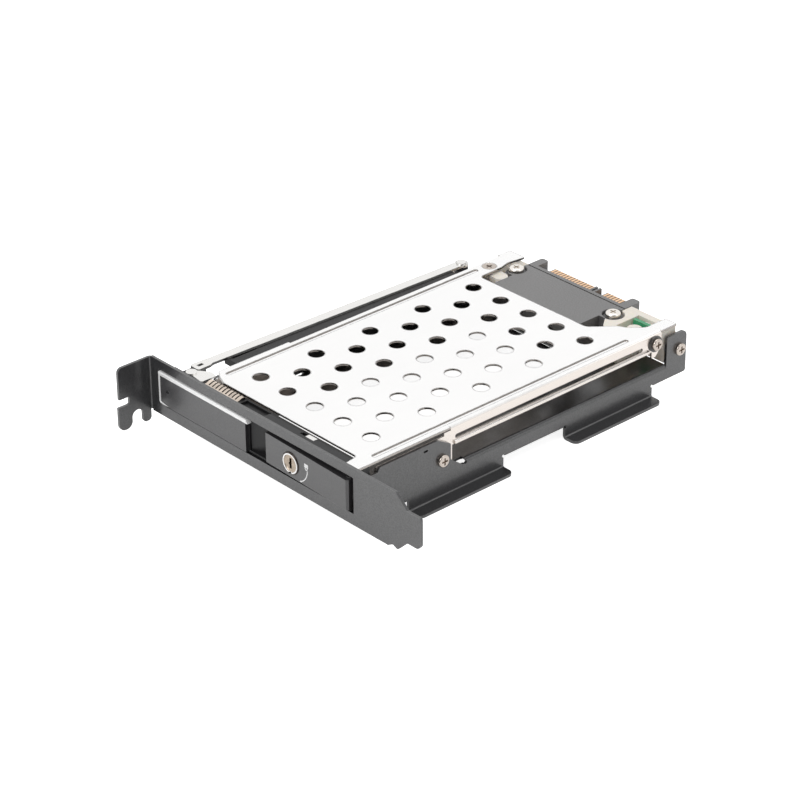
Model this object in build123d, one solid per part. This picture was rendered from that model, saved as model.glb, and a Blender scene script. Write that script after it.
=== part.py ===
from build123d import *
import math
import os

# Expansion slot rack for one 2.5 inch drive, in millimetres.
# X runs along the slot bracket from its screw tab to its tongue, Y runs back into the case
# and Z is up. The drawing's zero is the plate's front lower corner at the screw tab.

# The drive that the rack takes, and the play around it
drive_width = 69.85
drive_length = 100.45
drive_height = 9.5
drive_side_play = 0.15
drive_headroom = 1.9
drive_end_play = 0.25

# Sheets, bends and fits
bracket_sheet = 0.9
cover_sheet = 0.6
bend_inside = 0.4
running_gap = 0.05
slip_gap = 0.1
thread_gap = 0.02

# Slot bracket: window strips, tab and tongue
window_left = 4.8
window_bottom = 3.7
top_strip = 3.02
right_strip = 17.4
tongue_step = 10.22
tongue_band = 10.2
tongue_drop = 4.12
tab_depth = 12.0
hook_depth = 12.4
hook_drop = 3.17
tab_slot_width = 4.0
tab_slot_from_plate = 5.5
tab_slot_top = 2.05
tab_notch = (4.9, 7.5)
tab_notch_floor = 8.3

# Bay and housing
bay_from_window = 17.2
bay_front = 9.6
rail_above_window = 1.9
rail_width = 15.0
rail_front = 12.0
rail_slit = 1.2
bar_height = 1.4
keeper_slot_length = 6.0
keeper_slot_depth = 1.6
keeper_length = 3.6
housing_depth = 5.0
housing_end_wall = 0.8

# Side brackets
ear_front = 8.0
ear_length = 28.0
ear_chamfer = (5.0, 2.8)
rail_start = 41.8
wall_foot_edge = 0.6
foot_drop = 3.8
foot_reach = 4.55
foot_start = 19.7
foot_length = 37.3
ear_screw_from_front = 24.7
ear_screw_height = 8.7
rear_ear_length = 8.7
rear_ear_screw = 3.1
ear_slot = (26.3, 14.1)
bridge_depth = 14.5
bridge_slot_width = 1.2
bridge_bead_width = 1.4

# Top cover
cover_front_edge = 6.2
side_depth = 5.9
hem_height = 1.2
side_slot_height = 1.4
vent_radius = 2.5
vent_pitch_x = 12.15
vent_pitch_y = 21.53
vent_rows = 5
vent_first = 6.9
groove_width = 1.5
groove_depth = 0.3

# Door, plate and trim
pin_from_window = 11.6
pin_depth = 3.5
pin_radius = 1.0
knuckle_radius = 2.1
door_gap = 0.3
door_front = 0.8
door_back = 5.2
plate_thickness = 1.4
plate_width = 39.7
trim_height = 1.0
trim_width = 1.0
trim_proud = 0.15
lens_radius = 0.55
lens_flange_radius = 1.5
pocket_count = 3
pocket_rib = 0.9

# Lever, its pin and the lock
recess_width = 8.2
lever_lip = 2.8
lever_back = 1.6
lever_proud = 1.1
lever_eye = 1.1
lever_pin_radius = 0.5
lever_pin_depth = 1.0
lock_from_lever = 11.7
lock_ring_radius = 3.6
lock_barrel_radius = 3.2
lock_core_radius = 2.7
lock_cam_length = 7.2
lock_cam_width = 3.2
lock_cam_thickness = 1.0
lock_reach = 5.2
keyway_width = 0.9
cam_square = 2.0

# Eject rod and eject lever
rod_thickness = 0.8
rod_width = 3.4
rod_end_radius = 2.2
rivet_radius = 1.0
rivet_head_radius = 1.7
rivet_head_height = 0.4
rivet_from_wall = 4.2
rivet_ahead_of_pivot = 4.6
pivot_from_bay = 3.2
pivot_behind_connector = 6.4
hub_radius = 3.0
arm_thickness = 2.7
arm_radius = 2.4
skirt_thickness = 0.8

# Drive connector and the carrier under it
connector_width = 42.5
connector_offset = -4.7
connector_depth = 19.2
connector_drop = 0.4
connector_height = 9.6
block_width = 37.9
block_depth = 8.7
ear_hole_behind = 12.6
ear_hole_spread = 42.4
lug_radius = 3.4
lug_thickness = 2.0
contact_pitch = 1.27
contact_width = 0.8
contact_thickness = 0.15
contact_reach = 5.8
power_contact_count = 15
data_contact_count = 7
contact_margin = 0.4
key_gap = 3.2
carrier_depth = 20.7
well_wall = 3.5
well_from_connector = 5.6
led_width = 2.4

# Screws
screw_shank_radius = 1.4
screw_head_radius = 2.0
screw_head_height = 1.1
connector_head_radius = 2.4
connector_head_height = 1.5
connector_washer_radius = 2.9
washer_thickness = 0.5
cross_width = 0.55
cross_span = 2.3
cross_depth = 0.7

# Places along X
bay_left = window_left + bay_from_window
bay_right = bay_left + drive_width + 2 * drive_side_play
bay_middle = (bay_left + bay_right) / 2
wall_out_left = bay_left - cover_sheet - bracket_sheet
wall_out_right = bay_right + cover_sheet + bracket_sheet
window_right = bay_right + 0.25
plate_end = window_right + right_strip
slot_length = plate_end + tongue_step
pin_x = window_left + pin_from_window
plate_left = window_left + 0.5
plate_right = plate_left + trim_width + plate_width
lever_left = plate_right + recess_width
lever_right = window_right - 1.4
lever_pin_x = lever_right - lever_eye
door_left = window_left + 1.4
door_right = lever_right - 0.8
lock_x = lever_left + lock_from_lever
connector_middle = bay_middle + connector_offset
power_width = power_contact_count * contact_pitch + 2 * contact_margin
data_width = data_contact_count * contact_pitch + 2 * contact_margin
power_left = connector_middle - (power_width + key_gap + data_width) / 2
power_limits = (power_left, power_left + power_width)
data_limits = (power_limits[1] + key_gap, power_limits[1] + key_gap + data_width)
carrier_left = bay_left + running_gap
carrier_right = bay_right - running_gap
well_left = connector_middle + connector_width / 2 + slip_gap + well_from_connector
well_right = carrier_right - well_wall
board_limits = (well_left + 0.5, well_right - 2.2)
pivot_x = bay_left + pivot_from_bay
rivet_x = bay_left - cover_sheet - rivet_from_wall
lens_x = plate_left + 4.3
detent_x = (lever_pin_x - 8.4, lever_pin_x - 2.3)

# Places along Z
rail_top = window_bottom + rail_above_window
cover_under = rail_top + drive_height + drive_headroom
cover_top = cover_under + cover_sheet
bar_top = cover_under - slip_gap
bar_bottom = bar_top - bar_height
window_top = bar_bottom - slip_gap
slot_width = window_top + top_strip
door_bottom = window_bottom + door_gap
door_top = window_top - 2 * door_gap
lever_bottom = door_bottom + 0.5
lever_top = door_top - 0.6
lens_z = (window_bottom + window_top) / 2
lock_z = lens_z - 0.5
plate_top = window_top - door_gap
plate_bottom = window_bottom + 0.7
detent_floor = door_top - 1.2
side_hem = cover_top - side_depth
pin_lug_top = window_bottom - 0.4
carrier_floor = rail_top + 3.1
carrier_low = window_bottom - 0.8
rod_top = cover_top - 0.2
rod_bottom = rod_top - rod_thickness
arm_top = rod_bottom - 2.4
lug_top = cover_top - 2.2
connector_bottom = rail_top + connector_drop + 1.0
connector_top = connector_bottom + connector_height
contact_seat = connector_top - 2.4
ear_seat = lug_top - lug_thickness
hinge_plate_top = bar_top + 0.5
tongue_low = slot_width - tongue_drop - tongue_band

# Places along Y
housing_front = bracket_sheet
housing_back = housing_front + housing_depth
connector_front = bay_front + drive_length + drive_end_play
connector_back = connector_front + connector_depth
contact_end = connector_back + contact_reach
tongue_end = contact_end + 0.2
hem_end = connector_front + 8.2
ear_back = ear_front + ear_length
rail_end = connector_front + 15.5
rear_ear_end = rail_end + rear_ear_length
rear_foot_end = connector_front + 9.4
pivot_y = connector_front + pivot_behind_connector
rivet_y = pivot_y - rivet_ahead_of_pivot
carrier_back = connector_front + carrier_depth
ear_hole_y = connector_front + ear_hole_behind
cage_screw_y = connector_front + 11.0
cage_screw_z = cover_top - 3.4
lens_back = door_front + 2.0
lock_front = -0.75
lock_back = lever_back + lock_reach
board_front = connector_front + 15.0
board_back = board_front + 1.2

# The part's own zero: the middle of its outline, at the height of the feet
origin = (slot_length / 2, (tongue_end - hook_depth) / 2, -foot_drop)


def along_x(face, low, high):
    """Extrude a face drawn in Y and Z between two X limits."""
    return Pos(low, 0, 0) * extrude(Plane.YZ * face, amount=high - low)


def along_y(face, low, high):
    """Extrude a face drawn in X and Z between two Y limits."""
    return Pos(0, high, 0) * extrude(Plane.XZ * face, amount=high - low)


def along_z(face, low, high):
    """Extrude a face drawn in X and Y between two Z limits."""
    return Pos(0, 0, low) * extrude(face, amount=high - low)


def block(x, y, z):
    """A box between its (low, high) limits on each axis."""
    middle = Pos((x[0] + x[1]) / 2, (y[0] + y[1]) / 2, (z[0] + z[1]) / 2)
    return middle * Box(x[1] - x[0], y[1] - y[0], z[1] - z[0])


def outline(*points, radius=0.0):
    """A closed face through the points, with rounded corners: one radius, or one for each."""
    return make_face(FilletPolyline(*points, radius=radius, close=True))


def disc(x, y, radius):
    """A round face at a place in the drawing plane."""
    return Pos(x, y) * Circle(radius)


def upright(x, y, radius, low, high):
    """A cylinder along Z between two heights."""
    return along_z(disc(x, y, radius), low, high)


def stadium(start, end, radius):
    """A round-ended bar between two centres."""
    return make_hull([*disc(*start, radius).edges(), *disc(*end, radius).edges()])


def across(shape):
    """Mirror a piece of the right side to the left side of the bay."""
    return mirror(shape, about=Plane.YZ.offset(bay_middle))


def cross_recess(depth):
    """The cross-shaped driver recess, sunk from z = 0."""
    bar = Box(cross_span, cross_width, depth, align=(Align.CENTER, Align.CENTER, Align.MAX))
    return bar + Rot(0, 0, 90) * bar


def pan_screw(head_radius, head_height, length):
    """A pan head screw along Z, with its seat at z = 0 and its recess facing up."""
    head = Cylinder(head_radius, head_height, align=(Align.CENTER, Align.CENTER, Align.MIN))
    rim = head.edges().filter_by(GeomType.CIRCLE).sort_by(Axis.Z)[-1]
    head = fillet(rim, 0.45 * head_height)
    shank = Cylinder(screw_shank_radius, length, align=(Align.CENTER, Align.CENTER, Align.MAX))
    return head + shank - Pos(0, 0, head_height) * cross_recess(cross_depth)


def bent_edge(corner, wall_end, lip_end, sheet=bracket_sheet):
    """Section of a sheet with one bend. The corner is the outer one, as (across, height);
    the wall runs to a height and the lip runs to a place across."""
    x, z = corner
    into = math.copysign(sheet, lip_end - x)
    down = math.copysign(sheet, wall_end - z)
    return outline((x, z), (x, wall_end), (x + into, wall_end), (x + into, z + down),
                   (lip_end, z + down), (lip_end, z),
                   radius=[bend_inside + sheet, 0, 0, bend_inside, 0, 0])


def slot_bracket():
    """The plate with its door window, the tongue that drops into the case and the screw tab."""
    bend = bend_inside + bracket_sheet
    neck = plate_end + 4.8
    front = outline(
        (bend, 0), (bend, slot_width), (plate_end, slot_width), (neck, slot_width - tongue_drop),
        (slot_length, slot_width - tongue_drop), (slot_length, tongue_low), (neck, tongue_low),
        (plate_end + 0.8, 0.3), (plate_end - 1.2, 1.1), (plate_end - 3.2, 0),
        radius=[0, 0, 0.8, 0.8, 0.8, 2.0, 0.8, 0.5, 0.5, 0.8])
    plate = along_y(front, 0, bracket_sheet)
    window = outline((window_left, window_bottom), (window_left, window_top),
                     (window_right, window_top), (window_right, window_bottom), radius=0.4)
    plate -= along_y(window, -1, bracket_sheet + 1)

    tab_top = slot_width - 0.4
    side = outline((-bend_inside, tab_top), (-bend_inside, -0.9), (-tab_depth, -0.9),
                   (-tab_depth, tab_top), radius=[0, 0, 0, 1.7])
    hook = outline((-bend_inside, 6.0), (-bend_inside, -hook_drop), (-hook_depth, -hook_drop),
                   (-hook_depth, 6.0))
    slot_radius = tab_slot_width / 2
    screw_slot = stadium((-tab_slot_from_plate, tab_slot_top - slot_radius),
                         (-tab_slot_from_plate, -3 * hook_drop), slot_radius)
    notch = outline((-2 * hook_depth, tab_notch[0]), (-tab_notch_floor, tab_notch[0]),
                    (-tab_notch_floor, tab_notch[1]), (-2 * hook_depth, tab_notch[1]), radius=0.5)
    tab = along_x(side + hook - screw_slot - notch, 0, bracket_sheet)
    tips = tab.edges().filter_by(Axis.X).group_by(Axis.Z)[0].sort_by(Axis.Y)
    outer_prong = hook_depth - tab_slot_from_plate - slot_radius
    inner_prong = tab_slot_from_plate - slot_radius - bend_inside
    tab = fillet(tips[:2], 0.45 * outer_prong)
    tips = tab.edges().filter_by(Axis.X).group_by(Axis.Z)[0].sort_by(Axis.Y)
    tab = fillet(tips[-2:], 0.4 * inner_prong)
    corner = make_face(Wire([
        Line((0, -bend_inside), (bracket_sheet, -bend_inside)),
        CenterArc((bend, -bend_inside), bend_inside, 90, 90),
        Line((bend, 0), (bend, bracket_sheet)),
        CenterArc((bend, -bend_inside), bend, 90, 90)]))
    return plate + tab + along_z(corner, 0.5, tab_top)


def side_bracket():
    """The right side bracket from its front ear back: wall, drive rail, two feet and two ears."""
    rail_bend = rail_top - bend_inside - bracket_sheet
    foot_bend = -foot_drop + bend_inside + bracket_sheet
    front_foot = (foot_start, foot_start + foot_length)
    rear_foot = (rear_foot_end - foot_length, rear_foot_end)
    ear_top = cover_top - 1.8
    rear_ear_top = cover_top - 2.7
    wall = outline(
        (ear_front, wall_foot_edge),
        (front_foot[0], wall_foot_edge), (front_foot[0], foot_bend),
        (front_foot[1], foot_bend), (front_foot[1], wall_foot_edge),
        (rear_foot[0], wall_foot_edge), (rear_foot[0], foot_bend),
        (rear_foot[1], foot_bend), (rear_foot[1], wall_foot_edge),
        (rear_ear_end, wall_foot_edge), (rear_ear_end, rear_ear_top),
        (rail_end, rear_ear_top), (rail_end, rail_bend), (rail_start, rail_bend),
        (rail_start - 1.2, rail_bend), (ear_back, rail_bend + 3.4),
        (ear_back, ear_top - ear_chamfer[1]), (ear_back - ear_chamfer[0], ear_top), (ear_front, ear_top),
        radius=[0, 0, 0, 0, 0, 0, 0, 0, 0, 0.8, 2.0, 0.8, 0, 0, 1.0, 1.0, 0.8, 0.8, 2.0])
    x_in = wall_out_right - bracket_sheet
    piece = along_x(wall, x_in, wall_out_right)
    rail = bent_edge((wall_out_right, rail_top), rail_bend - 0.3, x_in - rail_width)
    piece += along_y(rail, rail_start, rail_end)
    piece += block((x_in - rail_width, x_in - rail_slit), (rail_front, rail_start + 1),
                   (rail_top - bracket_sheet, rail_top))
    foot = bent_edge((x_in, -foot_drop), foot_bend + 0.3, wall_out_right + foot_reach)
    for start, end in (front_foot, rear_foot):
        lip = along_y(foot, start, end)
        tips = lip.edges().filter_by(Axis.Z).group_by(Axis.X)[-1]
        piece += fillet(tips, 2.0)
    reliefs = [(y, wall_foot_edge) for y in (front_foot[1], rear_foot[0], rear_foot[1])]
    reliefs.append((rail_start, rail_bend + 0.3))
    for y, z in reliefs:
        piece -= along_x(disc(y, z, 0.55), x_in - 1, wall_out_right + 1)
    for y, z in ((ear_front + ear_screw_from_front, ear_screw_height),
                 (rear_ear_end - rear_ear_screw, ear_screw_height + 0.5)):
        piece -= along_x(disc(y, z, screw_shank_radius + slip_gap), x_in - 1, wall_out_right + 1)
    y, z = ear_slot
    return piece - along_x(stadium((y - 0.5, z), (y + 0.5, z), 0.35), x_in - 1, wall_out_right + 1)


def right_side_bracket():
    """Right side bracket, with the flange that is welded to the back of the slot bracket."""
    flange_top = window_top - 1.0
    flange_low = wall_foot_edge + 0.9
    x_in = wall_out_right - bracket_sheet
    bend = bend_inside + bracket_sheet
    neck = outline((bend, flange_low), (ear_front + 1, wall_foot_edge), (ear_front + 1, flange_top),
                   (bend, flange_top))
    neck = along_x(neck, x_in, wall_out_right)
    flange = outline((x_in, bracket_sheet), (x_in, bracket_sheet + 2 * bend),
                     (wall_out_right, bracket_sheet + 2 * bend), (wall_out_right, 2 * bracket_sheet),
                     (wall_out_right + 6.0, 2 * bracket_sheet), (wall_out_right + 6.0, bracket_sheet),
                     radius=[bend, 0, 0, bend_inside, 0, 0])
    return side_bracket() + neck + along_z(flange, flange_low, flange_top)


def left_side_bracket():
    """Left side bracket, with the low lug that carries the foot of the hinge pin."""
    x_in = bay_left - cover_sheet
    neck = block((wall_out_left, x_in), (housing_front, ear_front + 1), (wall_foot_edge, pin_lug_top - 1.0))
    lug = bent_edge((x_in, pin_lug_top), wall_foot_edge, pin_x - 3.4)
    hole = upright(pin_x, pin_depth, pin_radius, 0, pin_lug_top + 1)
    return across(side_bracket()) + neck + along_y(lug, housing_front, ear_front - 1) - hole


def rear_bridge():
    """The black sheet strip across the undersides of the two rails, slotted and beaded."""
    low, high = rail_top - 2 * bracket_sheet, rail_top - bracket_sheet
    slot_back = connector_front + 0.3
    slot_front = slot_back - bridge_slot_width
    front = slot_front - 5.9
    bead_back = slot_front - 0.7
    inside = (bay_left + rail_width - 0.4, bay_right - rail_width + 0.4)
    strip = block((bay_left + 2.0, bay_right - 2.0), (front, front + bridge_depth), (low, high))
    strip -= block(inside, (slot_front, slot_back), (low - 1, high + 1))
    return strip + block(inside, (bead_back - bridge_bead_width, bead_back), (high - 0.1, high + 0.3))


def cover_vents():
    """The staggered field of round holes in the cover."""
    first = bay_front + vent_first
    columns = range(-(vent_rows // 2), vent_rows // 2 + 1)
    places = [(bay_middle + vent_pitch_x * i, first + vent_pitch_y * j)
              for i in columns for j in range(vent_rows)]
    places += [(bay_middle + vent_pitch_x * (i + 0.5), first + vent_pitch_y * (j + 0.5))
               for i in columns[:-1] for j in range(vent_rows - 1)]
    return [Pos(x, y, cover_under) * Cylinder(vent_radius, 6 * cover_sheet) for x, y in places]


def cover_side():
    """The right wall of the cover: hemmed along its lower edge, with a long slot above the hem."""
    x_in, x_out = bay_right, bay_right + cover_sheet
    side_start = ear_back + 0.8
    wall_top = cover_under - bend_inside
    low_top = cover_top - 2.0
    wall = outline(
        (side_start - 2.6, wall_top), (side_start - 2.6, low_top), (ear_front, low_top),
        (ear_front, rail_top + 0.2),
        (side_start + 0.5, rail_top + 0.2), (side_start + 0.5, side_hem),
        (connector_front + 9.7, side_hem), (connector_front + 9.7, side_hem - 2.2),
        (connector_front + 11.4, side_hem - 2.2), (connector_front + 13.9, side_hem + 0.8),
        (connector_front + 13.9, wall_top),
        radius=[0, 0, 1.0, 0.5, 0.5, 0, 0, 0.4, 0.4, 1.0, 0])
    slot_low = side_hem + hem_height + 0.3
    slot = stadium((side_start + 2.4, slot_low + side_slot_height / 2),
                   (connector_front + 5.0, slot_low + side_slot_height / 2), side_slot_height / 2)
    screws = disc(ear_front + ear_screw_from_front, ear_screw_height, screw_shank_radius + slip_gap)
    screws += disc(cage_screw_y, cage_screw_z, screw_shank_radius + slip_gap)
    piece = along_x(wall - slot - screws, x_in, x_out)
    hem = outline((x_out, side_hem), (x_out + cover_sheet, side_hem),
                  (x_out + cover_sheet, side_hem + hem_height), (x_out, side_hem + hem_height),
                  radius=[0, 0.28, 0.28, 0])
    return piece + along_y(hem, side_start + 1.2, hem_end)


def cover_top_face():
    """Outline of the cover's top between its two bends, with the cut-out over the connector."""
    left, right = bay_left - cover_sheet, bay_right + cover_sheet
    back = carrier_back
    cut = connector_front - 1.0
    return outline(
        (left, bay_front), (left + 3.0, cover_front_edge + 1.4), (left + 6.6, cover_front_edge),
        (right - 5.9, cover_front_edge), (right - 5.2, 1.6), (right, 1.6), (right, back),
        (right - 4.75, back), (right - 4.75, connector_front + 12.0),
        (right - 8.6, connector_front + 7.7), (right - 11.2, connector_front + 6.4),
        (right - 14.0, connector_front + 3.0), (right - 17.5, cut),
        (left + 7.4, cut), (left + 7.0, cut + 9.6), (left + 6.1, cut + 13.4),
        (left + 7.0, back - 1.5), (left, back - 1.5),
        radius=[0.5, 1.0, 3.0, 1.2, 0.5, 0.5, 0.5, 0.8, 3.0, 3.0, 2.5, 3.0, 2.5, 1.5, 2.0, 1.5, 0.6, 0.6])


def top_cover():
    """The polished cover: perforated top, two folded sides and the rear edge round the connector."""
    side_start = ear_back + 0.8
    side_end = connector_front + 13.9
    straight = bay_right - bend_inside
    edge = block((straight, bay_right + 1), (side_start, side_end), (cover_under - 1, cover_top + 1))
    fold = bent_edge((bay_right + cover_sheet, cover_top), cover_under - bend_inside - 0.2,
                     straight - 1.0, sheet=cover_sheet)
    side = cover_side() + along_y(fold, side_start, side_end)
    arm_slot = block((bay_left - 2, bay_left + 1), (rivet_y - 3.6, pivot_y + 4.4),
                     (side_hem - 3, arm_top + 0.4))
    cover = along_z(cover_top_face(), cover_under, cover_top) - edge - across(edge)
    cover += side
    cover += across(side) - arm_slot
    for x, start in ((bay_left + 2.6, 1.3), (bay_right - 2.1, 0.5)):
        groove = stadium((x, bay_front + start), (x, connector_front + 1.0), groove_width / 2)
        cover -= along_z(groove, cover_top - groove_depth, cover_top + 1)
    cover -= cover_vents()
    sink_height = cover_sheet + 0.4
    sink = Cone(screw_shank_radius, screw_shank_radius + sink_height, sink_height,
                align=(Align.CENTER, Align.CENTER, Align.MAX))
    cover -= Pos(pivot_x, pivot_y, cover_top) * sink
    return cover - upright(pivot_x, pivot_y, screw_shank_radius + running_gap, cover_under - 1, cover_top)


def front_housing():
    """The black moulding behind the plate: a bar over and under the door, joined at the right end."""
    left = pin_x - 3.4
    low_left = bay_left - cover_sheet + slip_gap
    right = bay_right + cover_sheet - running_gap
    inner = right - housing_end_wall
    low_top = window_bottom - 0.2
    frame = outline((left, bar_bottom), (inner, bar_bottom), (inner, low_top), (low_left, low_top),
                    (low_left, 1.0), (right, 1.0), (right, bar_top), (left, bar_top),
                    radius=[0.3, 0.4, 0.4, 0.3, 0.3, 0.5, 0.3, 0.3])
    body = along_y(frame, housing_front, housing_back)
    ridge_left = plate_right + 5.0
    body += block((ridge_left, right - 5.9), (housing_front, housing_front + 3.5), (bar_top, bar_top + 0.3))
    body -= block((plate_right - 6.0, ridge_left), (housing_front + 1.1, housing_back - 0.6),
                  (bar_top - 0.9, bar_top + 1))
    return body - keeper_slot() - upright(pin_x, pin_depth, pin_radius, bar_bottom - 1, bar_top + 1)


def keeper_slot():
    """The slot in the top bar that holds the keeper."""
    left = lock_x - 0.4
    front = housing_front + 2.6
    return block((left, left + keeper_slot_length), (front, front + keeper_slot_depth),
                 (bar_bottom + 0.5, bar_top + 1))


def keeper_plate():
    """The bright steel keeper, seated in the right half of its slot."""
    right = lock_x - 0.4 + keeper_slot_length
    front = housing_front + 2.6
    return block((right - keeper_length, right), (front, front + keeper_slot_depth),
                 (bar_bottom + 0.5, bar_top + 0.25))


def grounding_fingers():
    """A strip of sprung bronze fingers lying on the top bar, bowed up to meet the case."""
    left, width, pitch, slit = bay_left + 2.0, 15.0, 1.5, 0.5
    front = housing_front + 0.5
    sheet = 0.2
    root = front + 1.4
    bow = Polyline((front, bar_top), (root, bar_top), (root + 1.4, bar_top + 0.55),
                   (root + 2.2, bar_top + 0.55), (housing_back - 0.1, bar_top + 0.05))
    top = Polyline((housing_back - 0.1, bar_top + 0.05 + sheet), (root + 2.2, bar_top + 0.55 + sheet),
                   (root + 1.4, bar_top + 0.55 + sheet), (root, bar_top + sheet), (front, bar_top + sheet))
    ends = [Line(bow @ 1, top @ 0), Line(top @ 1, bow @ 0)]
    strip = along_x(make_face([*bow.edges(), *top.edges(), *ends]), left, left + width)
    count = int(width / pitch)
    slits = [block((left + pitch * i - slit / 2, left + pitch * i + slit / 2), (root, housing_back + 1),
                   (bar_top - 1, bar_top + 2)) for i in range(1, count)]
    return strip - slits


def hinge_plate():
    """The bright plate over the left end of the bar, through which the hinge pin is riveted."""
    shape = outline((pin_x - 3.5, pin_depth - 0.4), (pin_x + 6.5, pin_depth - 1.5),
                    (pin_x + 6.6, pin_depth + 4.1), (pin_x + 3.8, pin_depth + 4.6),
                    (pin_x + 0.2, pin_depth + 2.1), (pin_x - 1.6, pin_depth + 1.6),
                    radius=[1.2, 0.6, 0.5, 0.5, 0.6, 0.6])
    plate = along_z(shape, bar_top, hinge_plate_top)
    return plate - upright(pin_x, pin_depth, pin_radius, bar_top - 1, hinge_plate_top + 1)


def hinge_pin():
    """The door's pin, from the lug of the left bracket to its riveted head on the hinge plate."""
    low = pin_lug_top - bracket_sheet
    high = hinge_plate_top + rivet_head_height
    pin = upright(pin_x, pin_depth, pin_radius, low - 0.6, high)
    pin += upright(pin_x, pin_depth, rivet_head_radius, hinge_plate_top, high)
    return pin + upright(pin_x, pin_depth, rivet_head_radius, low - 0.6, low)


def lock_window():
    """The opening in the door for the lock's barrel, and for its cam on the way in and out."""
    low, high = lock_z - lock_barrel_radius - 0.15, lock_z + lock_barrel_radius + 0.15
    opening = block((lock_x - lock_cam_length - 1.1, lock_x + lock_barrel_radius + 1.1),
                    (-5, door_back + 5), (low, high))
    half = lock_cam_width / 2 + running_gap
    return opening + block((lock_x - half, lock_x + half), (-5, door_back + 5), (high - 1, door_top + 5))


def door():
    """The black door behind both panels. It turns on the hinge pin and carries plate and lever."""
    body = block((door_left, door_right), (door_front, door_back), (door_bottom, door_top))
    body = fillet(body.edges().filter_by(Axis.Z), 0.5)
    body += upright(pin_x, pin_depth, knuckle_radius, door_bottom, door_top)
    seat_front = lever_back + door_gap
    floor = door_bottom + 0.6
    recess_floor = door_back - 0.6
    recess = outline((plate_right + 0.2, -5), (plate_right + 0.2, 1.5), (lever_left - 0.2, recess_floor),
                     (lever_left + lever_lip, recess_floor), (lever_left + lever_lip, -5))
    body -= along_z(recess, floor, door_top + 1)
    body -= block((lever_left - 0.3, door_right + 5), (-5, seat_front), (door_bottom - 1, door_top + 1))
    body -= lock_window()
    lug = stadium((lever_pin_x, lever_pin_depth), (lever_pin_x - 1.5, seat_front + 0.8), lever_eye)
    low, high = lever_bottom - slip_gap, lever_top + slip_gap
    body -= upright(lever_pin_x, lever_pin_depth, lever_eye + 0.5, low, high)
    body += along_z(lug, door_bottom, low)
    body += along_z(lug, high, door_top)
    body -= upright(lever_pin_x, lever_pin_depth, lever_pin_radius, door_bottom - 1, door_top + 1)
    body -= upright(pin_x, pin_depth, pin_radius + running_gap, door_bottom - 1, door_top + 1)
    lens = along_y(disc(lens_x, lens_z, lens_flange_radius), door_front - 1, lens_back)
    spring_seat = block((detent_x[0] - 0.3, detent_x[1] + 0.3), (-5, door_back - 0.4),
                        (detent_floor, door_top + 1))
    pockets = [block(x, (lens_back, door_back + 1), (door_bottom + 1.2, door_top - 1.2))
               for x in back_pockets()]
    return body - lens - spring_seat - pockets


def back_pockets():
    """The hollows in the back of the door, as (low, high) limits in X, with ribs between them."""
    start, end = pin_x + 4.0, plate_right - 2.0
    pitch = (end - start + pocket_rib) / pocket_count
    return [(start + i * pitch, start + (i + 1) * pitch - pocket_rib) for i in range(pocket_count)]


def door_plate():
    """The satin plate on the left of the door, with the small hole of the status light."""
    step = plate_left + trim_width
    face = outline((step, plate_top - trim_height), (plate_right, plate_top - trim_height),
                   (plate_right, plate_bottom), (plate_left + 5.7, plate_bottom), (step, plate_bottom + 0.9))
    plate = along_y(face, door_front - plate_thickness, door_front)
    return plate - along_y(disc(lens_x, lens_z, lens_radius + running_gap), -5, door_front + 1)


def door_trim():
    """The bright strip along the top and left edges of the plate, tapering out along the bottom."""
    step = plate_left + trim_width
    strip_low = plate_top - trim_height
    face = outline((plate_left, plate_top), (plate_right + 0.2, plate_top), (plate_right + 1.2, strip_low),
                   (step, strip_low), (step, plate_bottom + 0.9), (plate_left + 5.7, plate_bottom),
                   (plate_left, plate_bottom), radius=[0.2, 0, 0, 0, 0, 0, 1.0])
    trim = along_y(face, door_front - plate_thickness - trim_proud, door_front)
    left_front = trim.edges().filter_by(Axis.Z).group_by(Axis.X)[0].sort_by(Axis.Y)[0]
    return fillet(left_front, 0.5)


def status_lens():
    """The light window of the door, flush in the plate's hole and seated in the door."""
    lens = along_y(disc(lens_x, lens_z, lens_radius), door_front - plate_thickness + 0.2, door_front)
    return lens + along_y(disc(lens_x, lens_z, lens_flange_radius), door_front, lens_back)


def detent_spring():
    """The sprung steel leaf that keeps the door shut by rubbing under the window's edge."""
    left, right = detent_x
    sheet = 0.25
    low, high = detent_floor, window_top - 0.15
    arch = Polyline((left, low), (left + 1.6, high), (right - 1.6, high), (right, low),
                    (right - 1.2, low), (right - 2.1, high - sheet), (left + 2.1, high - sheet),
                    (left + 1.2, low), close=True)
    return along_y(make_face(arch), lever_back + 0.6, door_back - 0.5)


def lever():
    """The handle panel on the right of the door, hinged at its right end and carrying the lock."""
    right = lever_pin_x + lever_eye
    lip = lever_left + lever_lip
    front = outline((lever_left, 0), (right - 0.6, -lever_proud), (right, -lever_proud + 0.6),
                    (right, lever_pin_depth), (lever_pin_x + 0.5, lever_back), (lip + 0.6, lever_back),
                    (lip, 1.2), (lever_left, 1.2), radius=[0.3, 0.4, 0.3, 0.3, 0.4, 0, 0, 0.4])
    panel = along_z(front, lever_bottom, lever_top)
    pin_bore = lever_pin_radius + running_gap
    panel -= upright(lever_pin_x, lever_pin_depth, pin_bore, lever_bottom - 1, lever_top + 1)
    panel -= along_y(disc(lock_x, lock_z, lock_ring_radius), -5, lock_front + 0.6)
    return panel - along_y(disc(lock_x, lock_z, lock_barrel_radius), -5, lever_back + 1)


def lever_pin():
    """The pin through the two lugs of the door and the eye of the lever."""
    return upright(lever_pin_x, lever_pin_depth, lever_pin_radius, door_bottom - 0.1, door_top + 0.1)


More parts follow.
